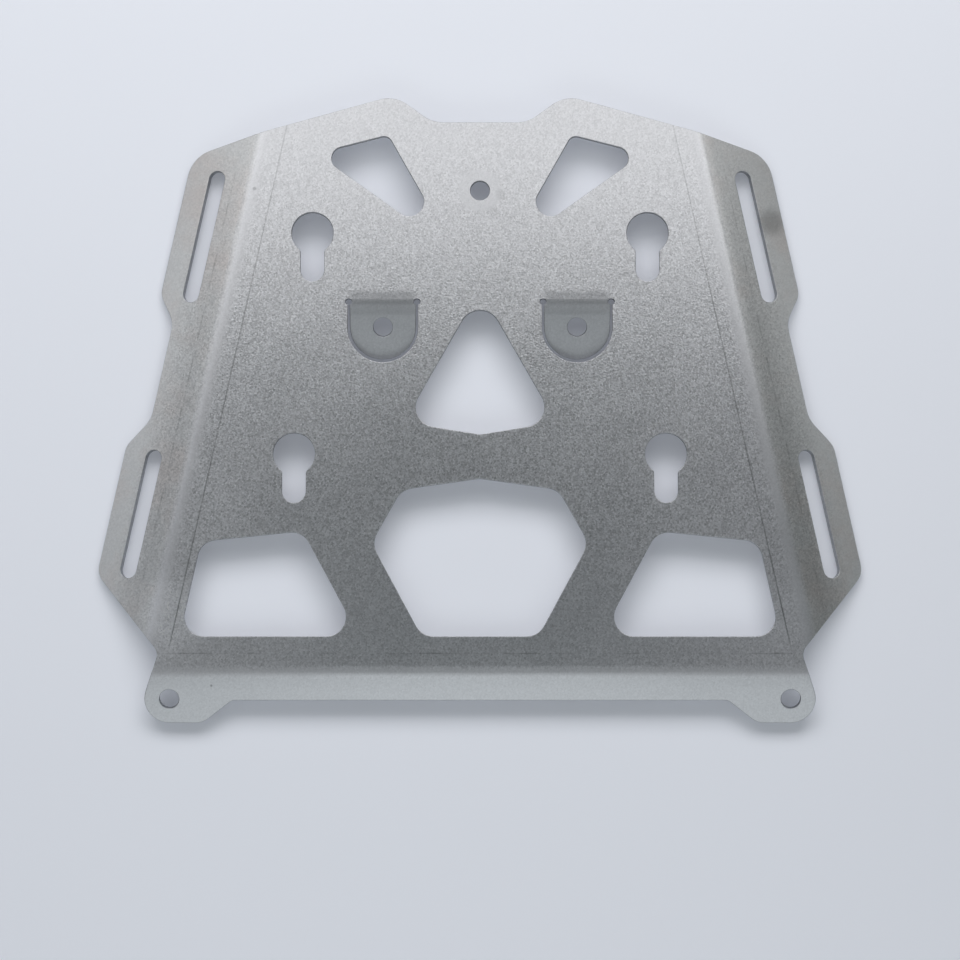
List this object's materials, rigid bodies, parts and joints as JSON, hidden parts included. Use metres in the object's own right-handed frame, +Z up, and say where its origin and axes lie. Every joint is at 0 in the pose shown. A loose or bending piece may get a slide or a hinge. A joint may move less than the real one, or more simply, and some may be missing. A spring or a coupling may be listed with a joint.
{
  "type": "top case mounting plate",
  "caption": "Flat luggage mounting plate cut from one aluminium sheet, with folded side flanges, strap slots, keyholes, large windows, bent-down tabs and a folded front flange.",
  "frame": {"origin": "middle of the plate's box, on the surface that it lies on", "axes": "+X to the plate's right, +Y from the wide front end to the narrow rear end, +Z up from the panel"},
  "size_m": [0.3532, 0.2898, 0.0129],
  "materials": {
    "bead_blasted_aluminium": "bare, bead-blasted"
  },
  "bodies": {
    "root": {"mounting_plate": "bead_blasted_aluminium"}
  },
  "joints": []
}
